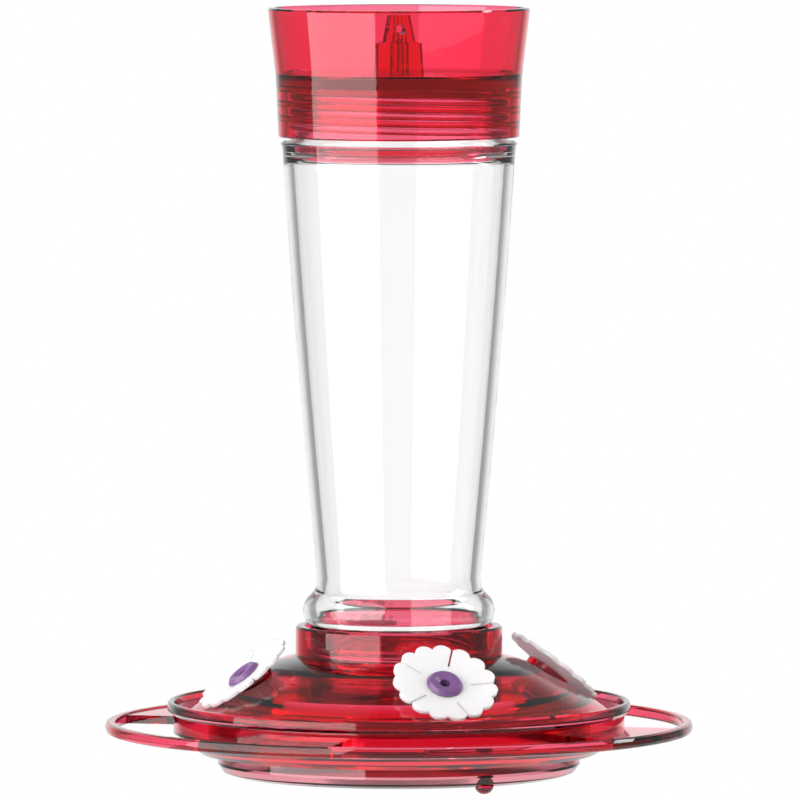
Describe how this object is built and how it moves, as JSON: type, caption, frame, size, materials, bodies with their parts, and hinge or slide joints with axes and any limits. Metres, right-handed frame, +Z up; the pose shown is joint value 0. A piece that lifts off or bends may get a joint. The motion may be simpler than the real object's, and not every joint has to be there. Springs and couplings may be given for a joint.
{
  "type": "hummingbird feeder",
  "caption": "Hanging hummingbird feeder: translucent red moat cap, tapered clear glass bottle and round red base with white flower ports and a perch ring.",
  "frame": {"origin": "on the feeder's axis, at the flat underside of the bowl", "axes": "+Z up along the bottle's axis, -Y through the front flower, +X through the right flower"},
  "size_m": [0.1676, 0.1676, 0.2181],
  "materials": {
    "red_plastic": "clear deep red, polished",
    "pale_plastic": "clear pale red tint, polished",
    "clear_glass": "clear, pressed",
    "white_plastic": "soft gloss white",
    "purple_plastic": "soft gloss purple",
    "silicone": "matt, milky"
  },
  "bodies": {
    "base": {"base_cover": "red_plastic", "perch_skirt": "red_plastic", "bowl_seal": "silicone"},
    "bowl": {"nectar_bowl": "pale_plastic"},
    "neck_thread": {"neck_gasket": "silicone"},
    "bottle": {"glass_bottle": "clear_glass"},
    "cap_thread": {"cap_gasket": "silicone"},
    "cap": {"moat_cap": "red_plastic"},
    "port_front": {"flower_front": "white_plastic", "bee_guard_front": "purple_plastic"},
    "port_right": {"flower_right": "white_plastic", "bee_guard_right": "purple_plastic"},
    "port_back": {"flower_back": "white_plastic", "bee_guard_back": "purple_plastic"},
    "port_left": {"flower_left": "white_plastic", "bee_guard_left": "purple_plastic"}
  },
  "joints": [
    {"name": "bowl_lock", "type": "hinge", "parent": "base", "child": "bowl", "pos_m": [0, 0, 0], "axis": [0, 0, 1], "range_deg": [0, 25]},
    {"name": "bottle_lift", "type": "slide", "parent": "base", "child": "neck_thread", "axis": [0, 0, 1], "range_m": [0, 0.0107]},
    {"name": "bottle_turn", "type": "hinge", "parent": "neck_thread", "child": "bottle", "pos_m": [0, 0, 0.0223], "axis": [0, 0, 1], "range_deg": [0, 900]},
    {"name": "cap_lift", "type": "slide", "parent": "bottle", "child": "cap_thread", "axis": [0, 0, 1], "range_m": [0, 0.0128]},
    {"name": "cap_turn", "type": "hinge", "parent": "cap_thread", "child": "cap", "pos_m": [0, 0, 0.1936], "axis": [0, 0, 1], "range_deg": [0, 1080]},
    {"name": "port_front_pull", "type": "slide", "parent": "base", "child": "port_front", "axis": [0, -0.6225, 0.7826], "range_m": [0, 0.009]},
    {"name": "port_right_pull", "type": "slide", "parent": "base", "child": "port_right", "axis": [0.6225, 0, 0.7826], "range_m": [0, 0.009]},
    {"name": "port_back_pull", "type": "slide", "parent": "base", "child": "port_back", "axis": [0, 0.6225, 0.7826], "range_m": [0, 0.009]},
    {"name": "port_left_pull", "type": "slide", "parent": "base", "child": "port_left", "axis": [-0.6225, 0, 0.7826], "range_m": [0, 0.009]}
  ],
  "couplings": [
    {"joint": "bottle_lift", "follows": "bottle_turn", "m_per_rad": 0.00067372},
    {"joint": "cap_lift", "follows": "cap_turn", "m_per_rad": 0.00067372}
  ]
}
